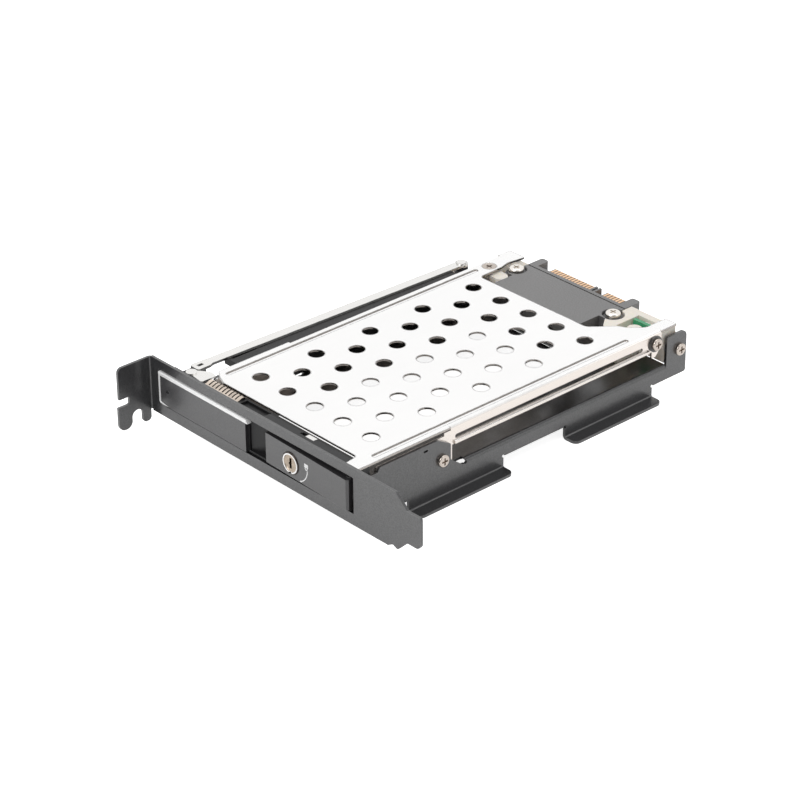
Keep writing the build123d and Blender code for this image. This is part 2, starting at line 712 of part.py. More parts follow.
def lock_barrel():
    """The chromed barrel: a ring on the lever's face, broken at the bottom, and a sleeve behind it."""
    ring = along_y(disc(lock_x, lock_z, lock_ring_radius), lock_front, lock_front + 0.6)
    rim = ring.edges().filter_by(GeomType.CIRCLE).group_by(Axis.Y)[0]
    ring = fillet(rim, 0.3)
    sleeve = along_y(disc(lock_x, lock_z, lock_barrel_radius), lock_front + 0.5, lock_back - 0.3)
    bore = along_y(disc(lock_x, lock_z, lock_core_radius + running_gap), -5, lock_back + 5)
    gap = block((lock_x - 0.6, lock_x + 0.6), (-5, lock_front + 0.45),
                (lock_z - lock_ring_radius - 1, lock_z - lock_core_radius))
    return ring + sleeve - bore - gap


def lock_core():
    """The brass plug that the key turns, with its keyway and the square end that drives the cam."""
    plug = along_y(disc(lock_x, lock_z, lock_core_radius), lock_front + 0.25, lock_back - 0.1)
    half = keyway_width / 2
    keyway = outline((-half, 1.7), (-half, 0.3), (-half - 0.4, -0.2), (-half, -0.7), (-half, -1.7),
                     (half, -1.7), (half, 1.7))
    keyway = Pos(lock_x, lock_z) * keyway
    square = Pos(lock_x, lock_z) * Rectangle(cam_square, cam_square)
    plug += along_y(square, lock_back - 0.5, lock_back + 2.0)
    return plug - along_y(keyway, -5, lock_front + 3.2)


def lock_cam():
    """The cam on the back of the lock. It lies along the lever here, and stands up to lock."""
    half = lock_cam_width / 2
    face = stadium((0, 0), (half - lock_cam_length, 0), half) + Circle(lock_core_radius + 0.1)
    face = Pos(lock_x, lock_z) * (face - Rectangle(cam_square, cam_square))
    return along_y(face, lock_back - 0.1, lock_back - 0.1 + lock_cam_thickness)


def lock_nut():
    """The small hexagon nut that holds the cam on its square."""
    front = lock_back - 0.1 + lock_cam_thickness
    face = Pos(lock_x, lock_z) * (RegularPolygon(1.9, 6) - Rectangle(cam_square, cam_square))
    return along_y(face, front, front + 1.1)


def eject_rod():
    """The flat rod along the left side, pushed back by the heel of the door as it opens."""
    head_left, head_right = pin_x - 4.2, pin_x + 0.1
    head_front = housing_back + slip_gap
    neck_y = head_front + 5.0
    half = rod_width / 2
    end = (rivet_x, rivet_y)
    start_x = head_left + 2.0
    shank = outline((start_x - half, neck_y), (end[0] - half, end[1]), (end[0] + half, end[1]),
                    (start_x + half, neck_y))
    head = outline((head_left, head_front), (head_right, head_front), (head_right, neck_y - 0.4),
                   (start_x + half, neck_y + 1.2), (start_x - half, neck_y + 1.2),
                   radius=[0.9, 0.9, 0.6, 0, 0])
    slot_x = (pin_x - 2.6, pin_x - 1.5)
    slot_y = (head_front + 1.5, head_front + 4.2)
    face = shank + head + disc(*end, rod_end_radius) - disc(*end, rivet_radius)
    rod = along_z(face, rod_bottom, rod_top)
    rod -= block(slot_x, slot_y, (rod_bottom - 1, rod_top + 1))
    return rod + block(slot_x, (slot_y[1] - rod_thickness, slot_y[1]), (rod_bottom - 2.6, rod_top))


def rod_guide():
    """The black rail under the rod, fixed along the outside of the left bracket and cover."""
    front, back = ear_front + 10.0, rivet_y - 5.0
    outer = pin_x - 3.2
    wall = wall_out_left
    skin = bay_left - cover_sheet
    shape = outline((outer, front), (outer + 2.2, back), (skin, back), (skin, ear_back + 1.4),
                    (wall, ear_back + 1.4), (wall, front), radius=[1.0, 1.0, 0, 0, 0, 1.0])
    rail = along_z(shape, rod_bottom - 2.4, rod_bottom - slip_gap)
    slit = (outer + 1.0, wall - 3.8)
    for low, high in ((front + 1.0, front + 10.6), (front + 11.4, front + 15.6)):
        rail -= block(slit, (low, high), (0, cover_top))
    skirt = (wall - skirt_thickness, wall)
    low, reach = rail_top - bracket_sheet, pivot_y + 4.4
    rail += block(skirt, (ear_back - 0.8, back), (low, rod_bottom - 0.4))
    return rail + block(skirt, (back - 1.0, reach), (low, arm_top - arm_thickness - 1.0))


def rod_bush():
    """The black spacer between the end of the rod and the arm of the eject lever."""
    ring = disc(rivet_x, rivet_y, rod_end_radius) - disc(rivet_x, rivet_y, rivet_radius)
    return along_z(ring, arm_top + slip_gap, rod_bottom)


def rod_rivet():
    """The rivet that links the rod to the slotted arm of the eject lever."""
    low = arm_top - arm_thickness - slip_gap
    rivet = upright(rivet_x, rivet_y, rivet_radius, low - rivet_head_height, rod_top + rivet_head_height)
    for z in (low - rivet_head_height, rod_top):
        rivet += upright(rivet_x, rivet_y, rivet_head_radius, z, z + rivet_head_height)
    return rivet


def eject_lever():
    """The ivory bell crank: a slotted arm out to the rod, and a nose that pushes the drive out."""
    pivot = (pivot_x, pivot_y)
    reach = math.hypot(pivot_x - rivet_x, pivot_y - rivet_y)
    toward = ((rivet_x - pivot_x) / reach, (rivet_y - pivot_y) / reach)

    def along_arm(distance):
        return (pivot_x + toward[0] * distance, pivot_y + toward[1] * distance)

    low = arm_top - arm_thickness
    arm = stadium(pivot, along_arm(reach + 0.5), arm_radius)
    slot = stadium(along_arm(reach - 1.4), along_arm(reach + 0.2), rivet_radius + 0.35)
    tip_x = connector_middle - block_width / 2 - 2.5
    tip = stadium(pivot, (tip_x, pivot_y - 0.5), 2.3)
    nose = stadium((tip_x, pivot_y - 0.5), (tip_x + 0.4, connector_front + 1.7), 1.6)
    floor = carrier_floor + 0.1
    piece = along_z(disc(*pivot, hub_radius), floor, cover_under - 0.5)
    piece += along_z(arm, low, arm_top)
    piece += along_z(tip, floor, cover_under - 0.7)
    piece += along_z(nose, floor, low + 1.0)
    piece -= along_z(slot, low - 1, arm_top + 1)
    return piece - upright(*pivot, screw_shank_radius + running_gap, floor - 1, cover_top)


def lever_screw():
    """The countersunk screw on which the eject lever turns, through the cover into the carrier."""
    height = cover_sheet + 0.3
    top = cover_top - 0.05
    head = Pos(0, 0, top) * Cone(screw_shank_radius, screw_shank_radius + height, height,
                                 align=(Align.CENTER, Align.CENTER, Align.MAX))
    shank = upright(0, 0, screw_shank_radius, rail_top + 0.3, top - height / 2)
    return Pos(pivot_x, pivot_y, 0) * (head + shank - Pos(0, 0, top) * cross_recess(0.5))


def ear_holes():
    """The two places where the connector is screwed down."""
    return [(connector_middle - ear_hole_spread / 2, ear_hole_y),
            (connector_middle + ear_hole_spread / 2, ear_hole_y)]


def connector():
    """The black pass-through connector: drive socket in front, keyed plug tongue at the back."""
    mid = connector_middle
    half = connector_width / 2
    body_front = connector_front + block_depth
    body = block((mid - block_width / 2, mid + block_width / 2), (connector_front, body_front + 1),
                 (connector_bottom, connector_top))
    body += block((mid - half, mid + half), (body_front, connector_back), (connector_bottom, connector_top))
    for x, y in ear_holes():
        body -= upright(x, y, lug_radius + 0.1, lug_top, connector_top + 1)
        lug = stadium((x, y), (x + math.copysign(2.5, mid - x), y), lug_radius)
        body += along_z(lug, lug_top - lug_thickness, lug_top)
        body -= upright(x, y, screw_shank_radius + slip_gap, connector_bottom - 1, lug_top + 1)
    groove_y = connector_back - 1.6
    body -= block((mid - half - 1, mid + half + 1), (groove_y - 0.25, groove_y + 0.25),
                  (connector_top - 0.5, connector_top + 1))
    arm_low = connector_top - 6.5
    for x, width, reach in ((mid - half, 3.0, 5.0), (mid + half - 3.4, 3.4, 5.6)):
        arm = block((x, x + width), (connector_back - 0.5, connector_back + reach), (arm_low, connector_top))
        tips = arm.edges().filter_by(Axis.Z).group_by(Axis.Y)[-1]
        body += fillet(tips, 0.8)
    tongue_low = contact_seat - 1.2
    for low, high in (power_limits, data_limits):
        body += block((low, high), (connector_back - 0.5, tongue_end), (tongue_low, contact_seat))
    for x in (power_limits[1] + 0.4, data_limits[0] - 1.2):
        body += block((x, x + 0.8), (connector_back - 0.5, contact_end - 2.0),
                      (tongue_low, connector_top - 0.4))
    socket_low = connector_bottom + 1.4
    socket_high = socket_low + 2.6
    for low, high in (power_limits, data_limits):
        body -= block((low - 0.4, high + 0.4), (connector_front - 1, connector_front + 6),
                      (socket_low, socket_high))
        body += block((low + 0.2, high - 0.2), (connector_front + 1.0, connector_front + 6.5),
                      (socket_low + 1.4, socket_high))
    return body


def contacts(limits, count):
    """A row of gilt contact strips on top of a tongue."""
    first = (limits[0] + limits[1]) / 2 - (count - 1) * contact_pitch / 2 - contact_width / 2
    starts = [first + i * contact_pitch for i in range(count)]
    return [block((x, x + contact_width), (connector_back, contact_end),
                  (contact_seat, contact_seat + contact_thickness)) for x in starts]


def connector_screws():
    """The two pan head screws that hold the connector down."""
    screw = pan_screw(connector_head_radius, connector_head_height,
                      washer_thickness + lug_thickness + 5.0)
    return [Pos(x, y, lug_top + washer_thickness) * screw for x, y in ear_holes()]


def connector_washers():
    """The dark washers under the two connector screws."""
    ring = Circle(connector_washer_radius) - Circle(screw_shank_radius + slip_gap)
    return [Pos(x, y) * along_z(ring, lug_top, lug_top + washer_thickness) for x, y in ear_holes()]


def connector_carrier():
    """The ivory moulding across the back of the bay that carries connector, lever and light board."""
    left, right = carrier_left, carrier_right
    body_front = connector_front + block_depth
    under = connector_bottom - slip_gap
    inner_left = connector_middle - connector_width / 2 - slip_gap
    inner_right = connector_middle + connector_width / 2 + slip_gap
    block_front = connector_front + 5.0
    floor = block((left, inner_left + 1.8), (connector_front + 1.0, body_front - slip_gap),
                  (rail_top, carrier_floor))
    floor += block((left, inner_left), (body_front - 1, carrier_back), (rail_top, carrier_floor))
    left_block = block((left, inner_left), (pivot_y + hub_radius + 0.4, carrier_back), (rail_top, ear_seat))
    right_top = cover_under - 0.6
    right_shape = outline((inner_right, body_front + 0.2), (inner_right + 3.0, block_front),
                          (right, block_front), (right, carrier_back), (inner_right, carrier_back),
                          radius=[1.0, 1.0, 0.5, 0, 0])
    right_block = along_z(right_shape, rail_top, right_top)
    right_block -= block((right - 9.0, right + 1), (block_front - 1, rail_end + 0.4),
                         (rail_top - 1, side_hem))
    bar = block((left + rail_width + 1.0, right - rail_width - 1.0), (body_front + 2.0, carrier_back),
                (carrier_low, under))
    bar += block((left, right), (rail_end + 0.4, carrier_back), (rail_top, under))
    body = floor + left_block + right_block + bar
    ear_x = ear_holes()[1][0]
    body -= upright(ear_x, ear_hole_y, lug_radius + 0.3, ear_seat, cover_top)
    body -= block((well_left, well_right), (connector_front + 8.0, connector_front + 18.0),
                  (ear_seat - 4.4, cover_top))
    body += upright(well_right - 4.3, connector_front + 10.8, 2.3, ear_seat - 5.0, right_top)
    cheek_top = ear_seat - 1.0
    for x in ((left, left + 4.0), (right - 4.0, right)):
        body += block(x, (carrier_back - 1, rear_ear_end - 0.2), (rail_top, cheek_top))
    pad = block((right - 1, bay_right + cover_sheet), (carrier_back + 0.5, rear_ear_end - 0.2),
                (rail_top, cheek_top))
    body += pad
    body += across(pad)
    thread = screw_shank_radius + thread_gap
    for x, y in ear_holes():
        body -= upright(x, y, thread, ear_seat - 5.5, cover_top)
    body -= upright(pivot_x, pivot_y, thread, rail_top - 1, cover_top)
    side_hole = along_x(disc(rear_ear_end - rear_ear_screw, ear_screw_height + 0.5, thread),
                        right - 6.0, right + 5)
    cage_hole = along_x(disc(cage_screw_y, cage_screw_z, thread), right - 3.4, right + 5)
    return body - side_hole - across(side_hole) - cage_hole


def indicator_pcb():
    """The small green circuit board that stands in the carrier's well."""
    return block(board_limits, (board_front, board_back), (ear_seat - 4.4, cover_under - 0.7))


def indicator_led():
    """The light on the board."""
    right = board_limits[1] - 0.8
    top = cover_under - 1.2
    return block((right - led_width, right), (board_back, board_back + 1.0), (top - 1.4, top))


def side_screws():
    """The four pan head screws in the ears of the side brackets."""
    front = pan_screw(screw_head_radius, screw_head_height, bracket_sheet + cover_sheet)
    rear = pan_screw(screw_head_radius, screw_head_height, bracket_sheet + cover_sheet + 4.5)
    front_place = Pos(wall_out_right, ear_front + ear_screw_from_front, ear_screw_height)
    rear_place = Pos(wall_out_right, rear_ear_end - rear_ear_screw, ear_screw_height + 0.5)
    right = [front_place * Rot(0, 90, 0) * front, rear_place * Rot(0, 90, 0) * rear]
    return right + [across(screw) for screw in right]


def cage_screw():
    """The screw through the right side of the cover into the carrier."""
    screw = pan_screw(screw_head_radius, screw_head_height, washer_thickness + cover_sheet + 3.0)
    seat = bay_right + cover_sheet + washer_thickness
    return Pos(seat, cage_screw_y, cage_screw_z) * Rot(0, 90, 0) * screw


def cage_washer():
    """The dark washer under the cage screw."""
    ring = disc(cage_screw_y, cage_screw_z, connector_washer_radius - 0.3)
    ring -= disc(cage_screw_y, cage_screw_z, screw_shank_radius + slip_gap)
    seat = bay_right + cover_sheet
    return along_x(ring, seat, seat + washer_thickness)


pieces = {
    "slot_bracket": slot_bracket(),
    "right_side_bracket": right_side_bracket(),
    "left_side_bracket": left_side_bracket(),
    "rear_bridge": rear_bridge(),
    "top_cover": top_cover(),
    "front_housing": front_housing(),
    "keeper_plate": keeper_plate(),
    "grounding_fingers": grounding_fingers(),
    "hinge_plate": hinge_plate(),
    "hinge_pin": hinge_pin(),
    "door": door(),
    "door_plate": door_plate(),
    "door_trim": door_trim(),
    "status_lens": status_lens(),
    "detent_spring": detent_spring(),
    "lever": lever(),
    "lever_pin": lever_pin(),
    "lock_barrel": lock_barrel(),
    "lock_core": lock_core(),
    "lock_cam": lock_cam(),
    "lock_nut": lock_nut(),
    "eject_rod": eject_rod(),
    "rod_guide": rod_guide(),
    "rod_bush": rod_bush(),
    "rod_rivet": rod_rivet(),
    "eject_lever": eject_lever(),
    "lever_screw": lever_screw(),
    "connector": connector(),
    "power_contacts": contacts(power_limits, power_contact_count),
    "data_contacts": contacts(data_limits, data_contact_count),
    "connector_screws": connector_screws(),
    "connector_washers": connector_washers(),
    "connector_carrier": connector_carrier(),
    "indicator_pcb": indicator_pcb(),
    "indicator_led": indicator_led(),
    "side_screws": side_screws(),
    "cage_screw": cage_screw(),
    "cage_washer": cage_washer(),
}

os.makedirs("parts", exist_ok=True)
home = Pos(-origin[0], -origin[1], -origin[2])
for name, shape in pieces.items():
    solids = shape if isinstance(shape, list) else shape.solids()
    placed = [home * solid for solid in solids]
    export_step(placed[0] if len(placed) == 1 else Compound(placed), f"parts/{name}.step")
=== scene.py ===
import math

import bmesh
import bpy
from bpy.props import FloatProperty, FloatVectorProperty, PointerProperty
from bpy.types import Operator, Panel, PropertyGroup
from mathutils import Matrix, Vector


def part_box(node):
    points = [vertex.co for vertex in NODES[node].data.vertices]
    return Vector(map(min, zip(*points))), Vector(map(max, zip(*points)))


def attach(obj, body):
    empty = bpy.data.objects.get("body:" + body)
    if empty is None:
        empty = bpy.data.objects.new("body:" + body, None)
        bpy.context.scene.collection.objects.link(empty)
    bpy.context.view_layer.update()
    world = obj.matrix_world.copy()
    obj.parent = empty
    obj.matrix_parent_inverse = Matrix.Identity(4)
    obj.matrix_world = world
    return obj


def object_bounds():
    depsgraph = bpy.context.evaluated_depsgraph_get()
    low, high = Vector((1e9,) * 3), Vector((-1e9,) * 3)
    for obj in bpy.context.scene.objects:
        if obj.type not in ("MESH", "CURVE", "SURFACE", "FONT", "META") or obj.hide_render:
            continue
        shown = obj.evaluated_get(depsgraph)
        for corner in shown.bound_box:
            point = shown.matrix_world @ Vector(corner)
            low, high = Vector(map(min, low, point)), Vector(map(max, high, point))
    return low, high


bl_info = {
    "name": "Expansion slot hard drive rack",
    "version": (1, 0, 0),
    "blender": (4, 5, 0),
    "location": "3D View > Sidebar > Drive rack",
    "description": "Finishes, print and studio for an expansion slot rack that holds one 2.5 inch drive",
    "category": "Object",
}

MM = 0.001
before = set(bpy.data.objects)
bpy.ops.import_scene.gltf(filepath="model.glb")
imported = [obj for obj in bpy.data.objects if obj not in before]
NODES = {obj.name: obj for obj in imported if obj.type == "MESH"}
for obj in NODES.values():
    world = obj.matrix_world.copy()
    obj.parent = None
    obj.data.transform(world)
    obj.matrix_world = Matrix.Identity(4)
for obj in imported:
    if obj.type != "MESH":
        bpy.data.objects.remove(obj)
CAD_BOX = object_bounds()
LEVER_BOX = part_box("lever")
LOCK_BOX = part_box("lock_barrel")
COVER_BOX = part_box("top_cover")

# How fast a bright sheet's streaks change along X, Y and Z, per metre
STREAKS_ALONG_X = (60.0, 700.0, 700.0)
STREAKS_ALONG_Y = (700.0, 60.0, 700.0)
NO_STREAKS = (500.0, 500.0, 500.0)


def finish_colour(name, default, description):
    """A colour that a user may change, as a property."""
    return FloatVectorProperty(name=name, description=description, default=default, subtype="COLOR",
                               size=3, min=0.0, max=1.0)


def length(name, default, description):
    """A length in metres that a user may change, as a property."""
    return FloatProperty(name=name, description=description, default=default, min=0.0, unit="LENGTH",
                         precision=5)


def angle(name, degrees, description):
    """An angle that a user may change, as a property, from its default in degrees."""
    return FloatProperty(name=name, description=description, default=math.radians(degrees),
                         unit="ROTATION")


def lamp_power(name, default, description):
    """A lamp's power that a user may change, as a property."""
    return FloatProperty(name=name, description=description, default=default, min=0.0, unit="POWER")


class RackFinishes(PropertyGroup):
    """Colours of the rack's finishes."""

    powder_coat: finish_colour("Powder coat", (0.01, 0.01, 0.012), "Satin black coat of the brackets")
    moulding: finish_colour("Moulding", (0.01, 0.01, 0.011), "Matt black plastic behind the plate")
    anodised: finish_colour("Door plate", (0.036, 0.035, 0.038), "Dark satin plate on the door")
    lever: finish_colour("Lever", (0.036, 0.035, 0.037), "Satin black handle")
    cover: finish_colour("Cover", (0.97, 0.965, 0.96), "Bright stainless cover")
    zinc: finish_colour("Zinc plate", (0.86, 0.85, 0.83), "Bright zinc on rod, pin and hinge plate")
    nickel: finish_colour("Nickel plate", (0.55, 0.49, 0.44), "Warm nickel on the screws")
    brass: finish_colour("Lock core", (0.42, 0.35, 0.28), "Worn brass of the lock's core")
    gilt: finish_colour("Gilt", (0.9, 0.6, 0.38), "Gold plate on the contacts")
    bronze: finish_colour("Bronze", (0.74, 0.64, 0.55), "Spring bronze of the grounding fingers")
    nylon: finish_colour("Nylon", (0.92, 0.86, 0.77), "Ivory nylon of carrier and eject lever")
    board: finish_colour("Board", (0.05, 0.36, 0.17), "Green solder mask")
    print_white: finish_colour("Print", (0.88, 0.88, 0.88), "White print on the lever")


class RackSizes(PropertyGroup):
    """Lengths of the rack's dressed details."""

    sheet_edge: length("Sheet edge", 0.12 * MM, "Rounding along the edges of the coated sheets")
    steel_edge: length("Steel edge", 0.08 * MM, "Rounding along the edges of the cover and the rod")
    moulded_edge: length("Moulded edge", 0.12 * MM, "Rounding along the edges of the plastic pieces")
    small_edge: length("Small edge", 0.05 * MM, "Rounding along the edges of screws, lock and trim")
    print_height: length("Padlock height", 2.11 * MM, "Height of the printed padlock")
    print_stroke: length("Print stroke", 0.34 * MM, "Width of the printed lines")


class RackStudio(PropertyGroup):
    """Camera, lamps and surround."""

    camera_place: FloatVectorProperty(name="Camera place", description="Where the camera stands",
                                      default=(0.55019, -0.51055, 0.4208), subtype="TRANSLATION",
                                      unit="LENGTH")
    azimuth: angle("Azimuth", 47.97, "Turn of the camera round the rack")
    elevation: angle("Elevation", 28.82, "Height of the camera above the horizon")
    roll: angle("Roll", -0.44, "Tilt of the camera about its own axis")
    focal_length: FloatProperty(name="Focal length", description="Focal length on a 36 mm sensor",
                                default=128.85, unit="CAMERA")
    front_share: FloatProperty(name="Front share", default=0.25, min=0.0, max=1.0,
                               description="Brightness of the surround behind the camera")
    key_power: lamp_power("Key power", 7.0, "Power of the soft front lamp")
    side_power: lamp_power("Side power", 1.2, "Power of the soft lamp on the right")
    top_power: lamp_power("Top power", 4.0, "Power of the soft lamp overhead")


# Shader groups

COLOUR = "NodeSocketColor"
FLOAT = "NodeSocketFloat"
VECTOR = "NodeSocketVector"
SURFACE_OUTPUTS = (("Color", COLOUR), ("Roughness", FLOAT), ("Height", FLOAT))

# A noise lies between 0 and 1, and most of it in this range
MIDDLE_OF_NOISE = (0.35, 0.65)


class Wiring:
    """Adds nodes to a tree and joins them. A value is a number, a colour or another node's output."""

    def __init__(self, tree):
        self.tree = tree

    def join(self, value, socket):
        """Link an output to a socket, or set the socket's own value."""
        if isinstance(value, bpy.types.NodeSocket):
            self.tree.links.new(value, socket)
        else:
            socket.default_value = value

    def node(self, kind, inputs=None, **settings):
        """A node with its settings, and with values for its inputs by name or number."""
        made = self.tree.nodes.new(kind)
        for name, value in settings.items():
            setattr(made, name, value)
        for name, value in (inputs or {}).items():
            self.join(value, made.inputs[name])
        return made

    def coordinates(self, kind="Object"):
        """Places in metres in the piece's own axes, or another kind of coordinates."""
        return self.node("ShaderNodeTexCoord").outputs[kind]

    def surface_normal(self):
        """The direction that the surface looks in."""
        return self.node("ShaderNodeNewGeometry").outputs["Normal"]

    def z_of(self, vector):
        """A vector's Z."""
        return self.node("ShaderNodeSeparateXYZ", {"Vector": vector}).outputs["Z"]

    def noise(self, place, scale, detail, roughness=0.5):
        """Cloudy noise about 0.5."""
        made = self.node("ShaderNodeTexNoise", {"Vector": place, "Scale": scale, "Detail": detail,
                                                "Roughness": roughness})
        return made.outputs["Fac"]

    def maths(self, operation, first, second=0.0, clamp=False):
        """A number from two numbers."""
        made = self.node("ShaderNodeMath", {0: first, 1: second}, operation=operation, use_clamp=clamp)
        return made.outputs["Value"]

    def vector(self, operation, *values):
        """A vector from two vectors, or the number that a length or a dot product gives."""
        made = self.node("ShaderNodeVectorMath", dict(enumerate(values)), operation=operation)
        return made.outputs["Value" if operation in ("LENGTH", "DOT_PRODUCT") else "Vector"]

    def mix(self, share, first, second):
        """The first colour with a share of the second over it. A mix node's colours are sockets 6 and 7."""
        made = self.node("ShaderNodeMix", {"Factor": share, 6: first, 7: second}, data_type="RGBA")
        return made.outputs[2]

    def span(self, value, source, target=(0.0, 1.0)):
        """Carry a value from one range to another and hold it at the ends."""
        made = self.node("ShaderNodeMapRange", {"Value": value, "From Min": source[0], "From Max": source[1],
                                                "To Min": target[0], "To Max": target[1]})
        return made.outputs["Result"]


def new_group(name, inputs, outputs):
    """An empty shader group with its sockets. Returns its wiring and its two end nodes."""
    group = bpy.data.node_groups.new(name, "ShaderNodeTree")
    for label, kind, value in inputs:
        socket = group.interface.new_socket(name=label, in_out="INPUT", socket_type=kind)
        socket.default_value = value
    for label, kind in outputs:
        group.interface.new_socket(name=label, in_out="OUTPUT", socket_type=kind)
    return Wiring(group), group.nodes.new("NodeGroupInput"), group.nodes.new("NodeGroupOutput")


def vary_surface(wire, start, end, tone, gloss):
    """Vary a group's colour with one noise about 0.5 and its roughness with another, by Shade and Spread."""
    offset = wire.maths("MULTIPLY", wire.maths("SUBTRACT", tone, 0.5), start.outputs["Shade"])
    gain = wire.maths("ADD", wire.maths("MULTIPLY", offset, 2.0), 1.0)
    wire.join(wire.vector("MULTIPLY", start.outputs["Colour"], gain), end.inputs["Color"])
    drift = wire.maths("MULTIPLY", wire.maths("SUBTRACT", gloss, 0.5), start.outputs["Spread"])
    drift = wire.maths("MULTIPLY", drift, 2.0)
    roughness = wire.maths("ADD", start.outputs["Roughness"], drift, clamp=True)
    wire.join(roughness, end.inputs["Roughness"])


def grain_group():
    """Fine all-over grain with slow cloudiness: a coat's orange peel or a moulding's texture."""
    fine_share = 0.6
    inputs = [("Scale", FLOAT, 1500.0), ("Cloud", FLOAT, 40.0), ("Colour", COLOUR, (0.5, 0.5, 0.5, 1.0)),
              ("Shade", FLOAT, 0.15), ("Roughness", FLOAT, 0.4), ("Spread", FLOAT, 0.08)]
    wire, start, end = new_group("Rack grain", inputs, SURFACE_OUTPUTS)
    place = wire.coordinates()
    fine = wire.noise(place, start.outputs["Scale"], 3.0, 0.55)
    cloud = wire.noise(place, start.outputs["Cloud"], 4.0)
    both = wire.maths("ADD", wire.maths("MULTIPLY", fine, fine_share),
                      wire.maths("MULTIPLY", cloud, 1.0 - fine_share))
    vary_surface(wire, start, end, both, cloud)
    wire.join(fine, end.inputs["Height"])
    return wire.tree


def drawn_group():
    """Rolled or brushed sheet: streaks along one axis that vary tone, gloss and height."""
    smear_scale = 35.0
    inputs = [("Stretch", VECTOR, (900.0, 30.0, 900.0)), ("Colour", COLOUR, (0.8, 0.8, 0.8, 1.0)),
              ("Shade", FLOAT, 0.06), ("Roughness", FLOAT, 0.2), ("Spread", FLOAT, 0.08)]
    wire, start, end = new_group("Rack drawn sheet", inputs, SURFACE_OUTPUTS)
    place = wire.coordinates()
    drawn = wire.vector("MULTIPLY", place, start.outputs["Stretch"])
    streaks = wire.noise(drawn, 1.0, 5.0, 0.6)
    smears = wire.noise(place, smear_scale, 3.0)
    both = wire.maths("ADD", wire.maths("MULTIPLY", streaks, 0.5), wire.maths("MULTIPLY", smears, 0.5))
    vary_surface(wire, start, end, both, both)
    wire.join(streaks, end.inputs["Height"])
    return wire.tree


def edge_wear_and_shade_group():
    """A mask along outer edges, broken up by noise, where a coat is rubbed or a cut edge shows, and on the
    cover where shade is painted round the vents' rims.
    """
    edge_cosines = (0.995, 0.93)
    open_reach = 0.8 * MM
    open_light = (0.75, 0.95)
    patch_scale = 260.0
    least_wear = 0.25
    inputs = [("Reach", FLOAT, 0.25 * MM), ("Amount", FLOAT, 0.5)]
    wire, start, end = new_group("Rack rubbed edge", inputs, [("Mask", FLOAT)])
    rounded = wire.node("ShaderNodeBevel", {"Radius": start.outputs["Reach"]}, samples=4)
    turn = wire.vector("DOT_PRODUCT", rounded.outputs["Normal"], wire.surface_normal())
    around = wire.node("ShaderNodeAmbientOcclusion", {"Distance": open_reach}, samples=4, only_local=True)
    outer = wire.span(around.outputs["AO"], open_light)
    edge = wire.maths("MULTIPLY", wire.span(turn, edge_cosines), outer)
    patches = wire.noise(wire.coordinates(), patch_scale, 4.0)
    broken = wire.maths("MULTIPLY", edge, wire.span(patches, MIDDLE_OF_NOISE, (least_wear, 1.0)))
    mask = wire.maths("MULTIPLY", broken, start.outputs["Amount"], clamp=True)
    wire.join(mask, end.inputs["Mask"])
    return wire.tree


def dust_group():
    """Sparse fine specks, densest on faces that look up."""
    cell_scale = 420.0
    empty_cells = 0.86
    largest_speck = 0.09
    least_dust = 0.15
    wire, start, end = new_group("Rack dust", [("Amount", FLOAT, 0.3)], [("Mask", FLOAT)])
    cells = wire.node("ShaderNodeTexVoronoi", {"Vector": wire.coordinates(), "Scale": cell_scale},
                      feature="F1")
    chance = wire.node("ShaderNodeSeparateColor", {"Color": cells.outputs["Color"]}).outputs["Red"]
    speck_size = wire.span(chance, (empty_cells, 1.0), (0.0, largest_speck))
    speck = wire.maths("LESS_THAN", cells.outputs["Distance"], speck_size)
    facing_up = wire.span(wire.z_of(wire.surface_normal()), (-0.2, 1.0), (least_dust, 1.0))
    settled = wire.maths("MULTIPLY", speck, facing_up)
    mask = wire.maths("MULTIPLY", settled, start.outputs["Amount"], clamp=True)
    wire.join(mask, end.inputs["Mask"])
    return wire.tree


GROUP_BUILDERS = {"Rack grain": grain_group, "Rack drawn sheet": drawn_group,
                  "Rack rubbed edge": edge_wear_and_shade_group, "Rack dust": dust_group}


def place_group(wire, name, values):
    """One use of a shared group in a material, with its own values. The first use builds the group."""
    group = bpy.data.node_groups.get(name) or GROUP_BUILDERS[name]()
    return wire.node("ShaderNodeGroup", values, node_tree=group)


# Finishes

DUST_COLOUR = (0.55, 0.54, 0.52)
# Painted shade for the dark ring on the lock barrel's face
GROOVE_SHADE_COLOUR = (0.06, 0.05, 0.045)

# On the cover, painted shade darkens crevices found by ambient occlusion, and the top sheet's cut edges,
# such as the vents' walls
CREVICE_SHADE_COLOUR = (0.03, 0.028, 0.026)
CREVICE_REACH = 2.5 * MM
CREVICE_LIGHT = (0.2, 0.55)
CREVICE_SHADE_STRENGTH = 0.75
# Painted shade on the top sheet's cut edges: how deep the sheet reaches, and their share of the side colour
CUT_EDGE_DEPTH = 0.58 * MM
CUT_EDGE_SHADE_SHARE = 0.5

# A face's slope by its normal's Z: from nearly level to steep, and from steep to upright
LEVEL_TO_STEEP = (0.95, 0.3)
STEEP_TO_UPRIGHT = (0.3, 0.1)


def opaque(colour, share=1.0):
    """A colour, darkened to a share of itself, with full alpha."""
    return (*(channel * share for channel in colour), 1.0)


def new_finish(name, **constants):
    """A material with its shader's fixed values set. Returns material, wiring and shader."""
    material = bpy.data.materials.new(name)
    material.use_nodes = True
    shader = material.node_tree.nodes["Principled BSDF"]
    for label, value in constants.items():
        shader.inputs[label.replace("_", " ")].default_value = value
    return material, Wiring(material.node_tree), shader


def join_surface(wire, shader, base, colour, relief):
    """Feed a colour, and a group's roughness and height, into the shader and the normals of both layers."""
    wire.join(colour, shader.inputs["Base Color"])
    wire.join(base.outputs["Roughness"], shader.inputs["Roughness"])
    bump = wire.node("ShaderNodeBump", {"Height": base.outputs["Height"], "Distance": relief,
                                        "Strength": 1.0})
    wire.join(bump.outputs["Normal"], shader.inputs["Normal"])
    wire.join(bump.outputs["Normal"], shader.inputs["Coat Normal"])


